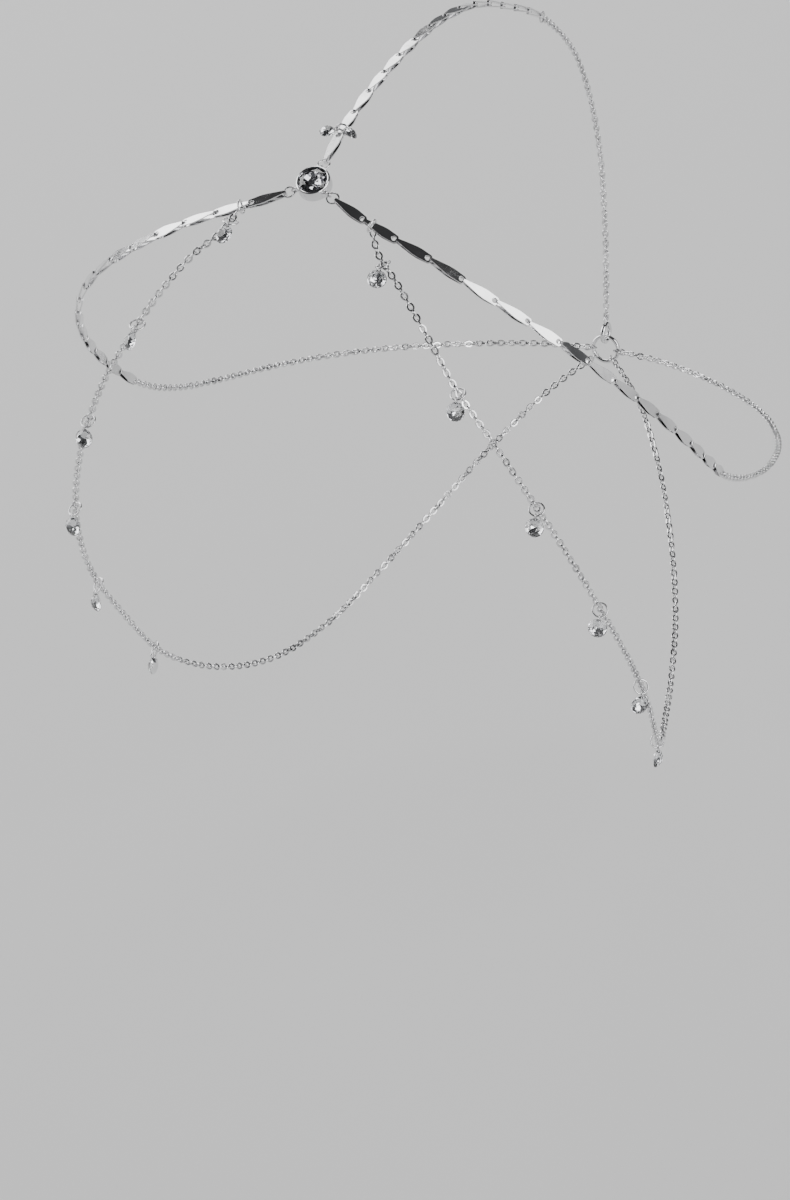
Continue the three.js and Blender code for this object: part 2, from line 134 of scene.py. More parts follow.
SIDES = {"left": (1, 8.8), "right": (-1, 3.6)}

# Sizes that follow from them
START_RING_FAR = LOOP_CENTRE + START_RING_DIAMETER - START_RING_WIRE
FIRST_FOLD = START_RING_FAR - START_RING_WIRE / 2 - RING_GAP
BRANCH_DISTANCE = FIRST_FOLD + LINK_PITCH + BRANCH_ALONG_LINK
HOLE_CENTRE = LINK_PITCH - LINK_HOLE / 2
BACK_RADIUS = (BACK_RING_DIAMETER - BACK_RING_WIRE) / 2
CLASP_RADIUS = (CLASP_DIAMETER - CLASP_WIRE) / 2
CLASP_OFFSET = BACK_RADIUS + CLASP_RADIUS - (CLASP_WIRE + BACK_RING_WIRE) / 2 - RING_GAP
CLASP_EYE_OFFSET = CLASP_RADIUS + (CLASP_EYE_DIAMETER - CLASP_EYE_WIRE) / 2

# How far the links of each leaf chain lean to one side and the other in turn, in degrees, and how much
# that differs from link to link
LINK_ROLL = {"crown": 3, "left": 5, "right": 8}
LEAF_WOBBLE = 3.5

# How far a fine chain's links lean off their quarter turns, in degrees, and the room between two links in mm
TRACE_WOBBLE = 14
TRACE_PLAY = 0.03

# How much brighter than the silver the foil behind the crystals is
FOIL_SHADE = 1.2

# How far each fine chain is twisted at its start, in degrees, and how much less that is per mm
CHAIN_TWIST = {"crown": (0, 0), "side": (0, 0), "drape_left": (0, 0), "drape_right": (48, 0.42)}

# Where the camera stands: looking from the front, from the wearer's left and from above
CAMERA_AZIMUTH, CAMERA_ELEVATION, CAMERA_ROLL = 24.171, 25.873, -2.197
CAMERA_DISTANCE = 1500.0
FOCAL_PIXELS = 6951.0
IMAGE_SIZE = (790, 1200)
AIM_PIXEL = (434.5, 414.0)

# The floor's sides in metres, and the lamps: place in metres, width, and share of the lamp power
FLOOR = {"x": (-1.9, 2.0), "y": (-2.0, 2.4)}
LAMPS = {
    "left_lamp": ((-1.75, 0.1, 0.55), 1.7, 1.0),
    "right_lamp": ((1.75, -0.2, 0.95), 1.8, 1.0),
    "front_lamp": ((1.5, -1.25, 0.15), 0.7, 0.26),
    "top_lamp": ((-0.7, 1.5, 1.3), 1.5, 0.65),
}


# Vectors, routes and frames, in mm


def unit(vector):
    return vector / np.linalg.norm(vector)


def square_to(direction, other):
    return unit(direction - other * np.dot(direction, other))


def turned(vector, axis, angle):
    return (vector * math.cos(angle) + np.cross(axis, vector) * math.sin(angle)
            + axis * np.dot(axis, vector) * (1 - math.cos(angle)))


def aimed(direction, hint, origin):
    """A 4x4 placement with X on the direction and Z as near as it can be to the hint."""
    x = unit(direction)
    z = square_to(hint, x)
    matrix = np.eye(4)
    matrix[:3, 0], matrix[:3, 1], matrix[:3, 2], matrix[:3, 3] = x, np.cross(z, x), z, origin
    return matrix


def outward_at(point):
    height = point[2] + HOLLOW_DROP
    half_height = HOLLOW_HALF_HEIGHT if height > 0 else HOLLOW_LOWER_HEIGHT
    return unit(np.array([point[0] / HOLLOW_HALF_WIDTH ** 2, point[1] / HOLLOW_HALF_DEPTH ** 2,
                          height / half_height ** 2]))


class Route:
    """A smooth curve through chosen points, measured along its length."""

    def __init__(self, points, side, start=()):
        scale = np.array([side * HOLLOW_HALF_WIDTH, HOLLOW_HALF_DEPTH, HOLLOW_HALF_HEIGHT])
        knots = np.array(points, float) * scale - (0, 0, HOLLOW_DROP)
        knots = np.vstack([*start, knots])
        knots = np.vstack([2 * knots[0] - knots[1], knots, 2 * knots[-1] - knots[-2]])
        rows = []
        for i in range(1, len(knots) - 2):
            rows.append(self.stretch(*knots[i - 1:i + 3]))
        self.points = np.vstack(rows + [knots[-2:-1]])
        steps = np.linalg.norm(np.diff(self.points, axis=0), axis=1)
        self.distances = np.concatenate([[0], np.cumsum(steps)])
        self.length = self.distances[-1]

    @staticmethod
    def stretch(a, b, c, d, steps=80):
        before, middle, after = (math.sqrt(np.linalg.norm(q - p)) for p, q in ((a, b), (b, c), (c, d)))
        start = ((b - a) / before - (c - a) / (before + middle) + (c - b) / middle) * middle
        end = ((c - b) / middle - (d - b) / (middle + after) + (d - c) / after) * middle
        t = np.linspace(0, 1, steps, endpoint=False)[:, None]
        return (b + start * t + (3 * (c - b) - 2 * start - end) * t ** 2
                + (2 * (b - c) + start + end) * t ** 3)

    def at(self, distance):
        return np.array([np.interp(distance, self.distances, self.points[:, k]) for k in range(3)])

    def frame(self, distance):
        """Where the route is, and the directions along it, across it and outward."""
        origin = self.at(distance)
        along = unit(self.at(distance + 0.2) - self.at(distance - 0.2))
        outward = square_to(outward_at(origin), along)
        return origin, along, np.cross(outward, along), outward


CROWN = Route(ROUTES["crown"], 1)
SIDE_ROUTES = {name: Route(ROUTES["side"], sign) for name, (sign, _) in SIDES.items()}
DRAPE_ROUTES = {name: Route(ROUTES["drape"], sign, [SIDE_ROUTES[name].at(BRANCH_DISTANCE)])
                for name, (sign, _) in SIDES.items()}
STONE_ORIGIN = CROWN.at(0)
STONE_OUTWARD = outward_at(STONE_ORIGIN)
STRANDS = {"crown": CROWN, **SIDE_ROUTES}


def strand_direction(route):
    return square_to(route.at(LINK_PITCH) - STONE_ORIGIN, STONE_OUTWARD)


def joint_ring_centre(count):
    return FIRST_FOLD + count * LINK_PITCH - LINK_BITE - RING_GAP - JOINT_RING_WIRE + JOINT_RING_DIAMETER / 2


# Shapes, as lists of points in mm and faces


class Shape:
    """Points and faces that grow as copies of other shapes are put in."""

    def __init__(self, points=(), faces=()):
        self.points = np.array(points, float).reshape(-1, 3)
        self.faces = [tuple(face) for face in faces]
        self.slots = [0] * len(self.faces)

    def moved(self, matrix):
        shape = Shape(self.points @ matrix[:3, :3].T + matrix[:3, 3], self.faces)
        shape.slots = list(self.slots)
        return shape

    def painted(self, slot):
        self.slots = [slot] * len(self.faces)
        return self

    def foiled(self, height):
        """Puts the second finish on the facets that lie under a height."""
        self.slots = [int(self.points[list(face), 2].mean() < height) for face in self.faces]
        return self

    @staticmethod
    def together(shapes):
        whole = Shape()
        whole.points = np.vstack([shape.points for shape in shapes])
        start = 0
        for shape in shapes:
            whole.faces += [tuple(i + start for i in face) for face in shape.faces]
            whole.slots += shape.slots
            start += len(shape.points)
        return whole


def shift(x=0.0, y=0.0, z=0.0):
    matrix = np.eye(4)
    matrix[:3, 3] = x, y, z
    return matrix


def turn(axis, angle):
    return np.array(Matrix.Rotation(angle, 4, axis))


def swept(sections, closed):
    """Rings of points joined one to the next."""
    count, sides = len(sections), len(sections[0])
    faces = []
    for i in range(count if closed else count - 1):
        j = (i + 1) % count
        for k in range(sides):
            m = (k + 1) % sides
            faces.append((i * sides + k, i * sides + m, j * sides + m, j * sides + k))
    if not closed:
        faces.append(tuple(reversed(range(sides))))
        faces.append(tuple((count - 1) * sides + k for k in range(sides)))
    return Shape(np.vstack(sections), faces)


def round_section(radius, sides):
    around = np.arange(sides) / sides * 2 * math.pi
    return radius * np.stack([np.cos(around), np.sin(around)], 1)


def flat_section(half_width, half_height):
    """A rolled wire: flat above and below, with its corners taken off."""
    side = np.array([(1, 0.45), (0.62, 1), (-0.62, 1), (-1, 0.45)]) * (half_width, half_height)
    return np.vstack([side, -side])


def wire_loop(half_length, half_width, section, steps, gap=0.0, turn_by=0.0):
    """A wire bent into an oval in the XY plane, with a fine cut where its ends meet."""
    closed = gap == 0
    half_gap = gap / (half_length + half_width)
    angles = (np.arange(steps) / steps * 2 * math.pi if closed
              else np.linspace(half_gap, 2 * math.pi - half_gap, steps + 1))
    sections = []
    for angle in angles + turn_by:
        centre = np.array([half_length * math.cos(angle), half_width * math.sin(angle), 0])
        normal = unit(np.array([half_width * math.cos(angle), half_length * math.sin(angle), 0]))
        sections.append(centre + section[:, :1] * normal + section[:, 1:] * np.array([0, 0, 1]))
    return swept(sections, closed)


def ring(diameter, wire, gap=0.0, turn_by=0.0, steps=36, sides=12):
    radius = (diameter - wire) / 2
    return wire_loop(radius, radius, round_section(wire / 2, sides), steps, gap, turn_by)


def lathe(profile, sides=64):
    """A closed outline of radius and height, spun round Z."""
    around = np.arange(sides) / sides * 2 * math.pi
    sections = [np.array([(r * math.cos(a), r * math.sin(a), z) for r, z in profile]) for a in around]
    count = len(profile)
    faces = []
    for i in range(sides):
        j = (i + 1) % sides
        for k in range(count):
            m = (k + 1) % count
            faces.append((i * count + m, i * count + k, j * count + k, j * count + m))
    return Shape(np.vstack(sections), faces)


def circle(radius, height, count, turn_by=0.0):
    angles = (np.arange(count) + turn_by) / count * 2 * math.pi
    return [(radius * math.cos(a), radius * math.sin(a), height) for a in angles]


def cut(points):
    """The flat facets that wrap a set of points."""
    work = bmesh.new()
    for point in points:
        work.verts.new(point)
    bmesh.ops.convex_hull(work, input=work.verts)
    bmesh.ops.dissolve_limit(work, angle_limit=math.radians(1.0), verts=work.verts, edges=work.edges)
    work.verts.index_update()
    shape = Shape([v.co for v in work.verts], [[v.index for v in f.verts] for f in work.faces])
    work.free()
    return shape


def outlined_plate(outline, hole, thickness, edge):
    """A flat plate with a hole and softened edges, made from two closed outlines."""
    data = bpy.data.curves.new("leaf_outline", "CURVE")
    data.dimensions = "2D"
    data.fill_mode = "BOTH"
    data.extrude = thickness / 2 - edge
    data.bevel_depth = edge
    data.bevel_resolution = 1
    data.offset = -edge
    for points in (outline, hole):
        spline = data.splines.new("POLY")
        spline.points.add(len(points) - 1)
        for knot, (x, y) in zip(spline.points, points):
            knot.co = (x, y, 0, 1)
        spline.use_cyclic_u = True
    temp = bpy.data.objects.new("leaf_outline", data)
    bpy.context.scene.collection.objects.link(temp)
    bpy.context.view_layer.update()
    mesh = temp.evaluated_get(bpy.context.evaluated_depsgraph_get()).to_mesh()
    shape = Shape([v.co[:] for v in mesh.vertices], [list(p.vertices) for p in mesh.polygons])
    temp.to_mesh_clear()
    bpy.data.objects.remove(temp)
    bpy.data.curves.remove(data)
    return shape


def make_object(name, shape, materials, nodes, smooth=35.0, faceted=()):
    """Turns a shape into a Blender object that stands for the named nodes."""
    mesh = bpy.data.meshes.new(name)
    mesh.from_pydata((shape.points * MM).tolist(), [], shape.faces)
    for material in materials:
        mesh.materials.append(material)
    mesh.polygons.foreach_set("material_index", shape.slots)
    obj = bpy.data.objects.new(name, mesh)
    bpy.context.scene.collection.objects.link(obj)
    work = bmesh.new()
    work.from_mesh(mesh)
    bmesh.ops.recalc_face_normals(work, faces=work.faces)
    work.to_mesh(mesh)
    work.free()
    mesh.set_sharp_from_angle(angle=math.radians(smooth))
    mesh.polygons.foreach_set("use_smooth", [face.material_index not in faceted for face in mesh.polygons])
    mesh.update()
    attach(obj, "root")
    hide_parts(*nodes)
    return obj


# Finishes


def group(name, inputs, outputs):
    """A shader node group with its own sockets, or the one already built."""
    if name in bpy.data.node_groups:
        return bpy.data.node_groups[name], False
    tree = bpy.data.node_groups.new(name, "ShaderNodeTree")
    for label, kind, default in inputs:
        socket = tree.interface.new_socket(label, in_out="INPUT", socket_type=kind)
        socket.default_value = default
    for label, kind in outputs:
        tree.interface.new_socket(label, in_out="OUTPUT", socket_type=kind)
    return tree, True


def polish_marks():
    """Fine scratches and cloudy patches of a worn polish: a roughness and a height."""
    tree, new = group(
        "polish_marks",
        [("Scale", "NodeSocketFloat", 400.0), ("Low", "NodeSocketFloat", 0.08),
         ("High", "NodeSocketFloat", 0.2)],
        [("Roughness", "NodeSocketFloat"), ("Height", "NodeSocketFloat")])
    if not new:
        return tree
    nodes, links = tree.nodes, tree.links
    start, end = nodes.new("NodeGroupInput"), nodes.new("NodeGroupOutput")
    place = nodes.new("ShaderNodeTexCoord")
    cloud = nodes.new("ShaderNodeTexNoise")
    cloud.inputs["Detail"].default_value = 4.0
    links.new(place.outputs["Object"], cloud.inputs["Vector"])
    links.new(start.outputs["Scale"], cloud.inputs["Scale"])
    stretch = nodes.new("ShaderNodeMapping")
    stretch.inputs["Scale"].default_value = (1.0, 9.0, 5.0)
    stretch.inputs["Rotation"].default_value = (0.4, 0.7, 0.3)
    links.new(place.outputs["Object"], stretch.inputs["Vector"])
    scratch = nodes.new("ShaderNodeTexNoise")
    scratch.inputs["Detail"].default_value = 6.0
    scratch.inputs["Roughness"].default_value = 0.7
    links.new(stretch.outputs["Vector"], scratch.inputs["Vector"])
    links.new(start.outputs["Scale"], scratch.inputs["Scale"])
    both = nodes.new("ShaderNodeMath")
    both.operation = "MULTIPLY"
    links.new(cloud.outputs["Fac"], both.inputs[0])
    links.new(scratch.outputs["Fac"], both.inputs[1])
    spread = nodes.new("ShaderNodeMapRange")
    spread.inputs["From Min"].default_value = 0.12
    spread.inputs["From Max"].default_value = 0.42
    links.new(both.outputs["Value"], spread.inputs["Value"])
    links.new(start.outputs["Low"], spread.inputs["To Min"])
    links.new(start.outputs["High"], spread.inputs["To Max"])
    links.new(spread.outputs["Result"], end.inputs["Roughness"])
    links.new(scratch.outputs["Fac"], end.inputs["Height"])
    return tree


def tarnish():
    """Slight darkening in patches, as plated silver gets where it is not rubbed."""
    tree, new = group(
        "tarnish",
        [("Clean", "NodeSocketColor", (0.9, 0.9, 0.91, 1)), ("Dull", "NodeSocketColor", (0.6, 0.6, 0.62, 1)),
         ("Scale", "NodeSocketFloat", 120.0)],
        [("Color", "NodeSocketColor")])
    if not new:
        return tree
    nodes, links = tree.nodes, tree.links
    start, end = nodes.new("NodeGroupInput"), nodes.new("NodeGroupOutput")
    place = nodes.new("ShaderNodeTexCoord")
    patch = nodes.new("ShaderNodeTexNoise")
    patch.inputs["Detail"].default_value = 5.0
    links.new(place.outputs["Object"], patch.inputs["Vector"])
    links.new(start.outputs["Scale"], patch.inputs["Scale"])
    edge = nodes.new("ShaderNodeMapRange")
    edge.inputs["From Min"].default_value = 0.45
    edge.inputs["From Max"].default_value = 0.75
    links.new(patch.outputs["Fac"], edge.inputs["Value"])
    mix = nodes.new("ShaderNodeMix")
    mix.data_type = "RGBA"
    links.new(edge.outputs["Result"], mix.inputs["Factor"])
    links.new(start.outputs["Clean"], mix.inputs["A"])
    links.new(start.outputs["Dull"], mix.inputs["B"])
    links.new(mix.outputs["Result"], end.inputs["Color"])
    return tree


def material(name):
    mat = bpy.data.materials.new(name)
    mat.use_nodes = True
    return mat, mat.node_tree.nodes, mat.node_tree.links, mat.node_tree.nodes["Principled BSDF"]


def silver(name, low, high, scale, shade=1.0):
    """Bright plated silver with worn polish, whose roughness lies between low and high."""
    finish = bpy.context.scene.head_chain_finish
    bright = [shade * c for c in finish.silver_colour]
    mat, nodes, links, shader = material(name)
    shader.inputs["Metallic"].default_value = 1.0
    colour = nodes.new("ShaderNodeGroup")
    colour.node_tree = tarnish()
    colour.inputs["Clean"].default_value = (*bright, 1)
    colour.inputs["Dull"].default_value = (*(0.72 * c for c in bright), 1)
    marks = nodes.new("ShaderNodeGroup")
    marks.node_tree = polish_marks()
    marks.inputs["Scale"].default_value = scale
    marks.inputs["Low"].default_value = low
    marks.inputs["High"].default_value = high
    bump = nodes.new("ShaderNodeBump")
    bump.inputs["Strength"].default_value = 0.08
    bump.inputs["Distance"].default_value = 0.00003
    links.new(colour.outputs["Color"], shader.inputs["Base Color"])
    links.new(marks.outputs["Roughness"], shader.inputs["Roughness"])
    links.new(marks.outputs["Height"], bump.inputs["Height"])
    links.new(bump.outputs["Normal"], shader.inputs["Normal"])
    return mat


def crystal_glass(name, colour):
    """Cut glass with faint wear on its facets."""
    mat, nodes, links, shader = material(name)
    shader.inputs["Base Color"].default_value = (*colour, 1)
    shader.inputs["IOR"].default_value = 1.62
    shader.inputs["Transmission Weight"].default_value = 1.0
    marks = nodes.new("ShaderNodeGroup")
    marks.node_tree = polish_marks()
    marks.inputs["Scale"].default_value = 700.0
    marks.inputs["Low"].default_value = 0.0
    marks.inputs["High"].default_value = 0.03
    links.new(marks.outputs["Roughness"], shader.inputs["Roughness"])
    return mat


def finish_of(name):
    """The named finish, built the first time that it is asked for.

    No name is a slot's: the frame has a material of that name already.
    """
    if name in bpy.data.materials:
        return bpy.data.materials[name]
    finish = bpy.context.scene.head_chain_finish
    if name == "silver_leaf":
        return silver(name, finish.leaf_roughness, finish.leaf_roughness + 0.1, 500.0)
    if name == "silver_wire":
        return silver(name, finish.wire_roughness, finish.wire_roughness + 0.12, 800.0)
    if name == "foil":
        return silver(name, 0.02, 0.06, 900.0, FOIL_SHADE)
    if name == "cut_crystal":
        return crystal_glass(name, finish.crystal_colour)
    if name == "smoky_stone":
        return crystal_glass(name, finish.stone_colour)
    raise ValueError(f"no finish is called {name}")


# Sizes and colours that can be changed


class HeadChainSizes(PropertyGroup):
    trace_link_length: FloatProperty(
        name="Trace link length", description="Outer length of one link of the fine chains",
        default=0.0021, min=0.001, unit="LENGTH")
    trace_link_width: FloatProperty(
        name="Trace link width", description="Outer width of one link of the fine chains",
        default=0.0016, min=0.0008, unit="LENGTH")
    trace_wire: FloatProperty(
        name="Trace wire", description="Width of the rolled wire of the fine chains",
        default=0.0004, min=0.0001, unit="LENGTH")
    ring_cut: FloatProperty(
        name="Ring cut", description="Width of the cut where a jump ring's ends meet",
        default=0.00003, min=0.0, unit="LENGTH")
    leaf_edge: FloatProperty(
        name="Leaf edge", description="Rounding of the edges of the leaf links",
        default=0.00004, min=0.00001, unit="LENGTH")


class HeadChainFinish(PropertyGroup):
    silver_colour: FloatVectorProperty(
        name="Silver", description="Colour of the plated silver", subtype="COLOR", size=3,
        min=0.0, max=1.0, default=(0.75, 0.75, 0.758))
    crystal_colour: FloatVectorProperty(
        name="Clear crystal", description="Tint of the clear crystals", subtype="COLOR", size=3,
        min=0.0, max=1.0, default=(0.96, 0.97, 0.98))
    stone_colour: FloatVectorProperty(
        name="Stone", description="Tint of the smoky stone", subtype="COLOR", size=3,
        min=0.0, max=1.0, default=(0.62, 0.62, 0.65))
    leaf_roughness: FloatProperty(
        name="Leaf roughness", description="How blurred the leaf links' reflections are", subtype="FACTOR",
        min=0.0, max=1.0, default=0.07)
    wire_roughness: FloatProperty(
        name="Wire roughness", description="How blurred the wire's reflections are", subtype="FACTOR",
        min=0.0, max=1.0, default=0.12)


class HeadChainStage(PropertyGroup):
    floor_drop: FloatProperty(
        name="Floor drop", description="How far the floor is below the lowest drop",
        default=0.03, min=0.0, unit="LENGTH")
    floor_colour: FloatVectorProperty(
        name="Floor colour", description="Colour of the floor", subtype="COLOR", size=3,
        min=0.0, max=1.0, default=(0.84, 0.84, 0.84))
    lamp_power: FloatProperty(
        name="Lamp power", description="Power of the main lamp in watts", default=33.0, min=0.0, unit="POWER")


# Pieces


class HEADCHAIN_OT_setting(Operator):
    """Bezel cup with its three loops, and the smoky stone in it"""
    bl_idname = "head_chain.setting"
    bl_label = "Stone and setting"

    def execute(self, context):
        place = aimed(np.array([1.0, 0, 0]), STONE_OUTWARD, STONE_ORIGIN)
        up = np.cross(STONE_OUTWARD, [1.0, 0, 0])
        wall = BEZEL_OUTER - BEZEL_INNER
        lip = STONE_DIAMETER / 2 - 0.1
        profile = [
            (0.02, BEZEL_BOTTOM), (BEZEL_OUTER - 0.5, BEZEL_BOTTOM),
            (BEZEL_OUTER - 0.15, BEZEL_BOTTOM + 0.06), (BEZEL_OUTER, BEZEL_BOTTOM + 0.2),
            (BEZEL_OUTER, BEZEL_TOP - 0.45),
            (BEZEL_OUTER - 0.06, BEZEL_TOP - 0.2), (BEZEL_OUTER - 0.2, BEZEL_TOP - 0.05),
            (lip + 0.2, BEZEL_TOP), (lip + 0.04, BEZEL_TOP - 0.06), (lip - 0.03, STONE_SEAT + 0.46),
            (lip, STONE_SEAT + 0.38), (BEZEL_INNER, BEZEL_TOP - wall), (BEZEL_INNER, STONE_SEAT - 0.2),
            (1.5, BEZEL_BOTTOM + 0.4), (0.02, BEZEL_BOTTOM + 0.4),
        ]
        pieces = [lathe(profile)]
        for route in STRANDS.values():
            direction = strand_direction(route)
            angle = math.atan2(np.dot(direction, up), direction[0])
            loop = ring(LOOP_DIAMETER, LOOP_WIRE, steps=28, sides=10)
            pieces.append(loop.moved(turn("Z", angle) @ shift(x=LOOP_CENTRE) @ turn("X", math.pi / 2)))
        setting = Shape.together(pieces).moved(place)
        make_object("setting", setting, [finish_of("silver_wire")], ["centre_setting"], 30)
        radius = STONE_DIAMETER / 2
        points = (circle(1.8, 1.3, 8, 0.5) + circle(2.55, 0.92, 8) + circle(radius, 0.3, 16)
                  + circle(radius, 0.0, 16) + circle(2.3, -0.62, 16, 0.5) + circle(1.2, -1.16, 8)
                  + [(0, 0, -1.45)])
        stone = cut(points).foiled(-0.01)
        make_object("stone", stone.moved(place @ shift(z=STONE_SEAT)),
                    [finish_of("smoky_stone"), finish_of("foil")], ["centre_stone"],
                    faceted=(0, 1))
        return {"FINISHED"}


def leaf_link(edge):
    """One folded link: two leaves, each with a hole, and the fold that joins their narrow ends."""
    end_radius = LINK_HOLE / 2 + LEAF_RIM
    belly = LEAF_BELLY * LINK_PITCH
    neck, swell = 0.8 * LEAF_WAIST / 2, LEAF_WIDTH / 2
    flank = [(t * belly, neck + (swell - neck) * (1.32 * t ** 1.15 - 0.32 * t ** 4))
             for t in np.linspace(0.02, 1.08, 12)]
    turn_in = math.radians(68)
    end = [(HOLE_CENTRE + end_radius * math.cos(a), end_radius * math.sin(a))
           for a in np.linspace(turn_in, 0, 8)]
    half = [(-0.1, neck), *flank, *end]
    outline = [(x, -y) for x, y in half] + [(x, y) for x, y in reversed(half[:-1])]
    hole = [(x + HOLE_CENTRE, y) for x, y, _ in circle(LINK_HOLE / 2, 0, 20)]
    plate = outlined_plate(outline, hole, LEAF_THICKNESS, edge)
    slope = math.atan((FOLD_MIDDLE - LEAF_SPREAD) / HOLE_CENTRE)
    leaves = [plate.moved(shift(z=side * FOLD_MIDDLE) @ turn("Y", side * slope)) for side in (1, -1)]
    corner = 0.34
    path = [(0.35, FOLD_MIDDLE - 0.02)]
    reach = FOLD_MIDDLE - corner
    for step in np.linspace(0, math.pi / 2, 6):
        path.append((corner - LEAF_THICKNESS / 2 - corner * math.sin(step), reach + corner * math.cos(step)))
    path += [(x, -z) for x, z in reversed(path)]
    half_width, half_thick = neck, LEAF_THICKNESS / 2
    sections = []
    for i, (x, z) in enumerate(path):
        before, after = path[max(i - 1, 0)], path[min(i + 1, len(path) - 1)]
        along = unit(np.array([after[0] - before[0], 0, after[1] - before[1]]))
        inner = np.cross(along, [0, 1, 0])
        ring_points = []
        for y, n in ((-half_width + edge, -half_thick), (half_width - edge, -half_thick),
                     (half_width, -half_thick + edge), (half_width, half_thick - edge),
                     (half_width - edge, half_thick), (-half_width + edge, half_thick),
                     (-half_width, half_thick - edge), (-half_width, -half_thick + edge)):
            ring_points.append(np.array([x, y, z]) + inner * n)
        sections.append(np.array(ring_points))
    return Shape.together([*leaves, swept(sections, False)])


class HEADCHAIN_OT_leaf_chains(Operator):
    """Chains of folded leaf links over the crown and along the sides"""
    bl_idname = "head_chain.leaf_chains"
    bl_label = "Leaf chains"

    def execute(self, context):
        link = leaf_link(context.scene.head_chain_sizes.leaf_edge / MM)
        for seed, (name, route) in enumerate(STRANDS.items(), 11):
            count = CROWN_LINKS if name == "crown" else SIDE_LINKS
            rolls = np.random.default_rng(seed).uniform(-LEAF_WOBBLE, LEAF_WOBBLE, count)
            rolls[2:] += [LINK_ROLL[name] * (-1) ** i for i in range(2, count)]
            links = []
            for i in range(count):
                start = FIRST_FOLD + i * LINK_PITCH
                origin, _, _, outward = route.frame(start)
                place = aimed(route.at(start + LINK_PITCH) - origin, outward, origin)
                links.append(link.moved(place @ turn("X", math.radians(rolls[i]))))
            node = "crown_chain" if name == "crown" else f"side_chain_{name}"
            make_object(f"leaf_chain_{name}", Shape.together(links), [finish_of("silver_leaf")],
                        [node], 25)
        return {"FINISHED"}


def trace_links(route, start, end, last_upright, sizes, seed, twist):
    """Interlocked oval links between two distances, each a quarter turn from the one before."""
    half_length = (sizes.trace_link_length - sizes.trace_wire) / 2 / MM
    half_width = (sizes.trace_link_width - sizes.trace_wire) / 2 / MM
    wire = sizes.trace_wire / MM
    link = wire_loop(half_length, half_width, flat_section(wire / 2, 0.4 * wire), 16)
    first, last = start + half_length, end - half_length
    pitch = 2 * half_length - wire - TRACE_PLAY
    count = math.ceil((last - first) / pitch)
    if (count % 2 == 1) != last_upright:
        count += 1
    spin = np.random.default_rng(seed).uniform(-TRACE_WOBBLE, TRACE_WOBBLE, count + 1)
    spin += np.clip(twist[0] - twist[1] * np.linspace(first, last, count + 1), 0, None)
    links = []
    for i in range(count + 1):
        distance = first + (last - first) * i / count
        origin, along, across, outward = route.frame(distance)
        angle = math.radians(90 * (i % 2) + spin[i])
        links.append(link.moved(aimed(along, turned(outward, along, angle), origin)))
    return Shape.together(links)


class HEADCHAIN_OT_trace_chains(Operator):
    """Fine chains of oval links: the drapes, and the stretches behind the leaf chains"""
    bl_idname = "head_chain.trace_chains"
    bl_label = "Trace chains"

    def execute(self, context):
        sizes = context.scene.head_chain_sizes
        wire = sizes.trace_wire / MM
        in_back_ring = BACK_RADIUS - BACK_RING_WIRE / 2 - wire
        in_joint_ring = JOINT_RING_DIAMETER / 2 - JOINT_RING_WIRE - wire
        in_branch_ring = BRANCH_RING_DIAMETER / 2 - BRANCH_RING_WIRE - wire
        in_clasp_eye = CLASP_OFFSET + CLASP_EYE_OFFSET + CLASP_EYE_DIAMETER / 2 - CLASP_EYE_WIRE - wire
        crown = trace_links(CROWN, joint_ring_centre(CROWN_LINKS) + in_joint_ring,
                            CROWN.length - in_clasp_eye, False, sizes, 1, CHAIN_TWIST["crown"])
        make_object("fine_chain_crown", crown, [finish_of("silver_wire")], ["crown_trace"], 40)
        for seed, name in enumerate(SIDES, 2):
            side = SIDE_ROUTES[name]
            back = trace_links(side, joint_ring_centre(SIDE_LINKS) + in_joint_ring,
                               side.length - in_back_ring, True, sizes, seed, CHAIN_TWIST["side"])
            make_object(f"fine_chain_side_{name}", back, [finish_of("silver_wire")],
                        [f"side_trace_{name}"], 40)
            drape = DRAPE_ROUTES[name]
            hung = trace_links(drape, in_branch_ring, drape.length - in_back_ring, True, sizes, seed + 2,
                               CHAIN_TWIST[f"drape_{name}"])
            make_object(f"fine_chain_drape_{name}", hung, [finish_of("silver_wire")],
                        [f"drape_chain_{name}"], 40)
        return {"FINISHED"}


def hang_at(outward):
    down = np.array([0, 0, -1.0])
    return unit(down + outward * max(outward[2], 0))


def hung_crystal(ring_centre, ring_axis, ring_radius, hang, outward, diameter, turn_by):
    """A crystal cut on both faces, with the eye that hangs it on its ring."""
    low = square_to(hang, ring_axis)
    wire = np.cross(ring_axis, low)
    down = square_to(hang, wire)
    eye = ring_centre + low * ring_radius + down * EYE_SAG
    face = turned(square_to(outward, down), down, math.radians(turn_by))
    side = np.cross(face, down)
    eye_turn = math.atan2(-np.dot(wire, side), np.dot(wire, face))
    radius, half = diameter / 2, diameter * CRYSTAL_THICKNESS / 2
    points = (circle(radius * CRYSTAL_TABLE, half, 8, 0.5) + circle(radius * 0.8, half * 0.56, 8)
              + circle(radius, 0.09, 16, 0.5) + circle(radius, -0.09, 16, 0.5)
              + circle(radius * 0.82, -half * 0.44, 8) + circle(radius * 0.42, -half * 0.76, 8, 0.5)
              + [(0, 0, -half)])
    stone = cut(points).foiled(-0.1).moved(shift(x=radius + EYE_SINK))
    loop = ring(EYE_DIAMETER, EYE_WIRE, steps=24, sides=10).moved(turn("X", eye_turn)).painted(2)
    cap = lathe([(0.01, -0.12), (0.34, -0.12), (0.44, 0.02), (0.42, 0.16), (0.01, 0.16)], 20)
    cap = cap.moved(shift(x=EYE_DIAMETER / 2 - 0.02) @ turn("Y", math.pi / 2)).painted(2)
    return Shape.together([stone, loop, cap]).moved(aimed(down, face, eye))


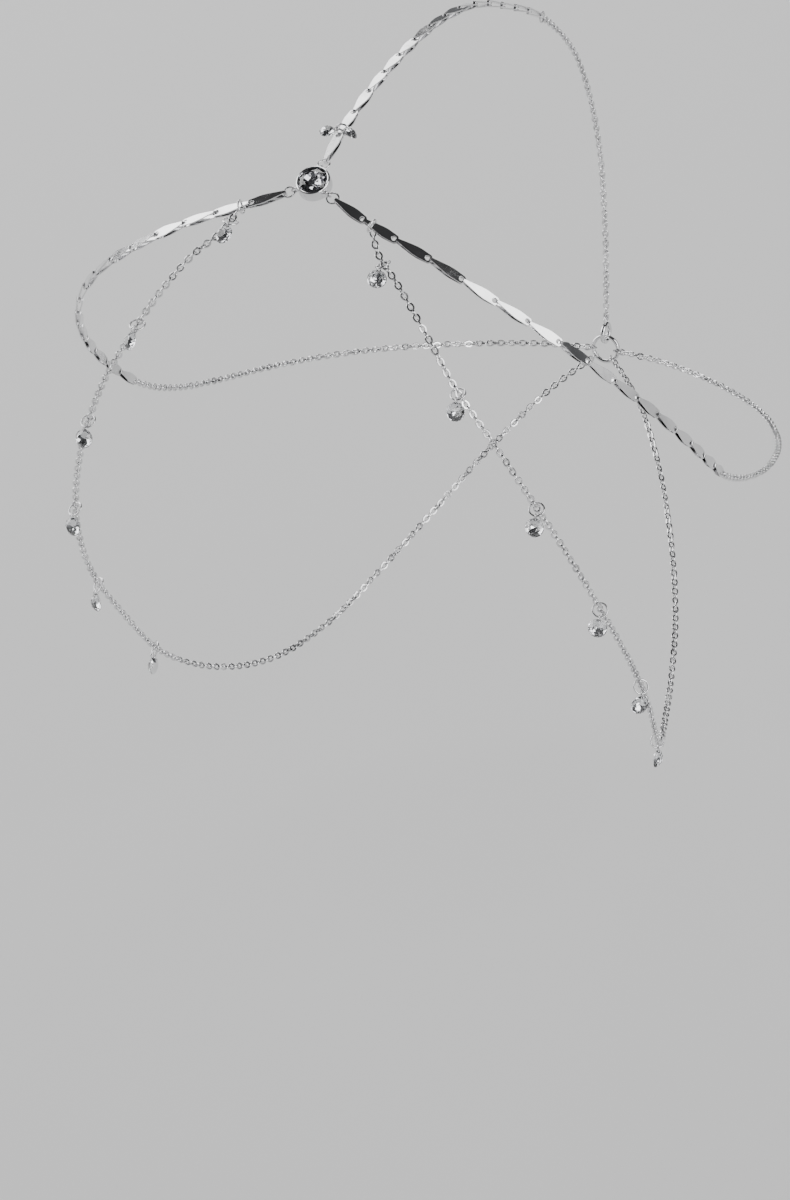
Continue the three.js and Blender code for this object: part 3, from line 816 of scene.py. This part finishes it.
class HEADCHAIN_OT_drops(Operator):
    """Clear crystals with their eyes, on the drapes and over the stone"""
    bl_idname = "head_chain.drops"
    bl_label = "Crystal drops"

    def execute(self, context):
        finishes = [finish_of("cut_crystal"), finish_of("foil"), finish_of("silver_wire")]
        for name, (sign, _) in SIDES.items():
            for i, (_, turn_by) in enumerate(DROPS, 1):
                centre, axis, low, hang, outward = drop_ring_frame(name, i)
                shape = hung_crystal(centre, axis, (DROP_RING_DIAMETER - DROP_RING_WIRE) / 2, hang, outward,
                                     CRYSTAL_DIAMETER, sign * turn_by)
                make_object(f"crystal_{name}_{i}", shape, finishes,
                            [f"drop_crystal_{name}_{i}"], 40, faceted=(0, 1))
        origin, along, across, outward = CROWN.frame(BRANCH_DISTANCE)
        for name, (sideways, out, back, turn_by) in CROWN_DROPS.items():
            hang = unit(across * sideways + outward * out + along * back)
            shape = hung_crystal(origin, along, (BRANCH_RING_DIAMETER - BRANCH_RING_WIRE) / 2, hang, outward,
                                 CROWN_CRYSTAL_DIAMETER, turn_by)
            make_object(f"crystal_crown_{name}", shape, finishes,
                        [f"crown_crystal_{name}"], 40, faceted=(0, 1))
        return {"FINISHED"}


def drop_ring_frame(name, number):
    """Where a drop's ring is, its axis, its lowest side, and how its crystal hangs."""
    sign, first = SIDES[name]
    aside = DROPS[number - 1][0]
    origin, along, across, outward = DRAPE_ROUTES[name].frame(first + (number - 1) * DROP_SPACING)
    lean = math.radians(DROP_LEAN)
    axis = along * math.cos(lean) - outward * math.sin(lean)
    hang = unit(hang_at(outward) - across * sign * aside)
    low = square_to(hang, axis)
    return origin + low * DROP_SAG, axis, low, hang, outward


class HEADCHAIN_OT_jump_rings(Operator):
    """Every jump ring: at the stone, round the chains, and where the chains change"""
    bl_idname = "head_chain.jump_rings"
    bl_label = "Jump rings"

    def execute(self, context):
        gap = context.scene.head_chain_sizes.ring_cut / MM
        turns = iter(np.random.default_rng(7).uniform(0.6, 5.6, 40))

        def add(node, diameter, wire, matrix):
            shape = ring(diameter, wire, gap, next(turns)).moved(matrix)
            make_object(node.replace("ring", "jump_ring"), shape, [finish_of("silver_wire")],
                        [node], 50)

        for name, route in STRANDS.items():
            loop = STONE_ORIGIN + strand_direction(route) * LOOP_CENTRE
            direction = unit(route.at(START_RING_FAR) - loop)
            centre = loop + direction * (START_RING_DIAMETER - START_RING_WIRE) / 2
            add(f"start_ring_{name}", START_RING_DIAMETER, START_RING_WIRE,
                aimed(direction, outward_at(centre), centre))
            count = CROWN_LINKS if name == "crown" else SIDE_LINKS
            origin, along, across, _ = route.frame(joint_ring_centre(count))
            add(f"joint_ring_{name}", JOINT_RING_DIAMETER, JOINT_RING_WIRE, aimed(along, across, origin))
            origin, along, across, _ = route.frame(BRANCH_DISTANCE)
            node = "crown_drop_ring" if name == "crown" else f"branch_ring_{name}"
            add(node, BRANCH_RING_DIAMETER, BRANCH_RING_WIRE, aimed(across, along, origin))
        for name in SIDES:
            for i in range(1, len(DROPS) + 1):
                centre, axis, low, _, _ = drop_ring_frame(name, i)
                add(f"drop_ring_{name}_{i}", DROP_RING_DIAMETER, DROP_RING_WIRE, aimed(low, axis, centre))
        return {"FINISHED"}


class HEADCHAIN_OT_back(Operator):
    """Back ring where the strands meet, and the clasp ring that the crown strand hooks on with"""
    bl_idname = "head_chain.back"
    bl_label = "Back ring and clasp"

    def execute(self, context):
        centre = CROWN.at(CROWN.length)
        reach = CLASP_OFFSET + CLASP_EYE_OFFSET + CLASP_EYE_DIAMETER / 2 + 0.3
        towards = unit(CROWN.at(CROWN.length - reach) - centre)
        across = np.array([1.0, 0, 0])
        back = ring(BACK_RING_DIAMETER, BACK_RING_WIRE, steps=56, sides=16)
        make_object("back_ring_round", back.moved(aimed(towards, np.cross(towards, across), centre)),
                    [finish_of("silver_wire")], ["back_ring"], 60)
        clasp = Shape.together([
            ring(CLASP_DIAMETER, CLASP_WIRE, steps=48, sides=16),
            ring(CLASP_EYE_DIAMETER, CLASP_EYE_WIRE, steps=32, sides=12).moved(shift(x=CLASP_EYE_OFFSET)),
        ])
        make_object("clasp_ring", clasp.moved(aimed(towards, across, centre + towards * CLASP_OFFSET)),
                    [finish_of("silver_wire")], ["clasp"], 60)
        return {"FINISHED"}


class HEADCHAIN_OT_stage(Operator):
    """Pale floor, soft lamps and the camera"""
    bl_idname = "head_chain.stage"
    bl_label = "Studio"

    def execute(self, context):
        settings = context.scene.head_chain_stage
        lowest = CAD_BOX[0][2] - settings.floor_drop
        floor = bpy.data.meshes.new("floor")
        (x0, x1), (y0, y1) = FLOOR["x"], FLOOR["y"]
        floor.from_pydata([(x0, y0, lowest), (x1, y0, lowest), (x1, y1, lowest), (x0, y1, lowest)], [],
                          [(0, 1, 2, 3)])
        floor_object = bpy.data.objects.new("floor", floor)
        context.scene.collection.objects.link(floor_object)
        mat, nodes, links, shader = material("floor_paper")
        shader.inputs["Roughness"].default_value = 0.75
        grain = nodes.new("ShaderNodeTexNoise")
        grain.inputs["Scale"].default_value = 6.0
        tint = nodes.new("ShaderNodeMix")
        tint.data_type = "RGBA"
        tint.inputs["A"].default_value = (*settings.floor_colour, 1)
        tint.inputs["B"].default_value = (*(0.97 * c for c in settings.floor_colour), 1)
        links.new(grain.outputs["Fac"], tint.inputs["Factor"])
        links.new(tint.outputs["Result"], shader.inputs["Base Color"])
        floor.materials.append(mat)

        middle = Vector((0, 0, -HOLLOW_DROP)) * MM
        for name, (place, size, share) in LAMPS.items():
            lamp = bpy.data.lights.new(name, "AREA")
            lamp.shape = "DISK"
            lamp.size = size
            lamp.energy = settings.lamp_power * share
            obj = bpy.data.objects.new(name, lamp)
            obj.location = place
            obj.visible_camera = False
            obj.rotation_euler = (middle - Vector(place)).to_track_quat("-Z", "Y").to_euler()
            context.scene.collection.objects.link(obj)
        world = bpy.data.worlds.new("studio")
        world.use_nodes = True
        nodes, links = world.node_tree.nodes, world.node_tree.links
        place = nodes.new("ShaderNodeTexCoord")
        height = nodes.new("ShaderNodeSeparateXYZ")
        ceiling = nodes.new("ShaderNodeValToRGB")
        ceiling.color_ramp.elements[0].position = 0.05
        ceiling.color_ramp.elements[0].color = (0.16, 0.163, 0.168, 1)
        ceiling.color_ramp.elements[1].position = 0.45
        ceiling.color_ramp.elements[1].color = (0.05, 0.05, 0.052, 1)
        links.new(place.outputs["Generated"], height.inputs["Vector"])
        links.new(height.outputs["Z"], ceiling.inputs["Fac"])
        seen = nodes.new("ShaderNodeLightPath")
        backdrop = nodes.new("ShaderNodeMix")
        backdrop.data_type = "RGBA"
        backdrop.inputs["B"].default_value = (*(1.1 * c for c in settings.floor_colour), 1)
        links.new(seen.outputs["Is Camera Ray"], backdrop.inputs["Factor"])
        links.new(ceiling.outputs["Color"], backdrop.inputs["A"])
        links.new(backdrop.outputs["Result"], nodes["Background"].inputs["Color"])
        context.scene.world = world

        azimuth, elevation, roll = (math.radians(a) for a in (CAMERA_AZIMUTH, CAMERA_ELEVATION, CAMERA_ROLL))
        back = Vector((math.sin(azimuth) * math.cos(elevation), -math.cos(azimuth) * math.cos(elevation),
                       math.sin(elevation)))
        level = Vector((math.cos(azimuth), math.sin(azimuth), 0))
        upright = back.cross(level)
        right = math.cos(roll) * level + math.sin(roll) * upright
        up = -math.sin(roll) * level + math.cos(roll) * upright
        aim_x = (IMAGE_SIZE[0] / 2 - AIM_PIXEL[0]) / FOCAL_PIXELS
        aim_y = (IMAGE_SIZE[1] / 2 - AIM_PIXEL[1]) / FOCAL_PIXELS
        away = -(-back + aim_x * right - aim_y * up).normalized()
        side = up.cross(away).normalized()
        camera = bpy.data.cameras.new("camera")
        camera.lens = camera.sensor_width * FOCAL_PIXELS / max(IMAGE_SIZE)
        camera.clip_start = 0.05
        obj = bpy.data.objects.new("camera", camera)
        frame_axes = Matrix((side, away.cross(side), away)).transposed().to_4x4()
        obj.matrix_world = Matrix.Translation(middle + back * CAMERA_DISTANCE * MM) @ frame_axes
        context.scene.collection.objects.link(obj)
        context.scene.camera = obj
        return {"FINISHED"}


class HEADCHAIN_PT_panel(Panel):
    """Sizes, finishes and steps of the head chain"""
    bl_idname = "HEADCHAIN_PT_panel"
    bl_label = "Head chain"
    bl_space_type = "VIEW_3D"
    bl_region_type = "UI"
    bl_category = "Head chain"

    def draw(self, context):
        layout = self.layout
        for settings in (context.scene.head_chain_sizes, context.scene.head_chain_finish,
                         context.scene.head_chain_stage):
            box = layout.box()
            for name in settings.__annotations__:
                box.prop(settings, name)
        for step in STEPS:
            layout.operator(step.bl_idname)


GROUPS = {
    "head_chain_sizes": HeadChainSizes,
    "head_chain_finish": HeadChainFinish,
    "head_chain_stage": HeadChainStage,
}
STEPS = (
    HEADCHAIN_OT_stage,
    HEADCHAIN_OT_setting,
    HEADCHAIN_OT_leaf_chains,
    HEADCHAIN_OT_trace_chains,
    HEADCHAIN_OT_jump_rings,
    HEADCHAIN_OT_drops,
    HEADCHAIN_OT_back,
)
CLASSES = (*GROUPS.values(), *STEPS, HEADCHAIN_PT_panel)


def register():
    for item in CLASSES:
        bpy.utils.register_class(item)
    for name, item in GROUPS.items():
        setattr(bpy.types.Scene, name, PointerProperty(type=item))


def unregister():
    for name in GROUPS:
        delattr(bpy.types.Scene, name)
    for item in reversed(CLASSES):
        bpy.utils.unregister_class(item)


def main():
    register()
    bpy.ops.head_chain.stage()
    bpy.ops.head_chain.setting()
    bpy.ops.head_chain.leaf_chains()
    bpy.ops.head_chain.trace_chains()
    bpy.ops.head_chain.jump_rings()
    bpy.ops.head_chain.drops()
    bpy.ops.head_chain.back()


if __name__ == "__main__":
    main()
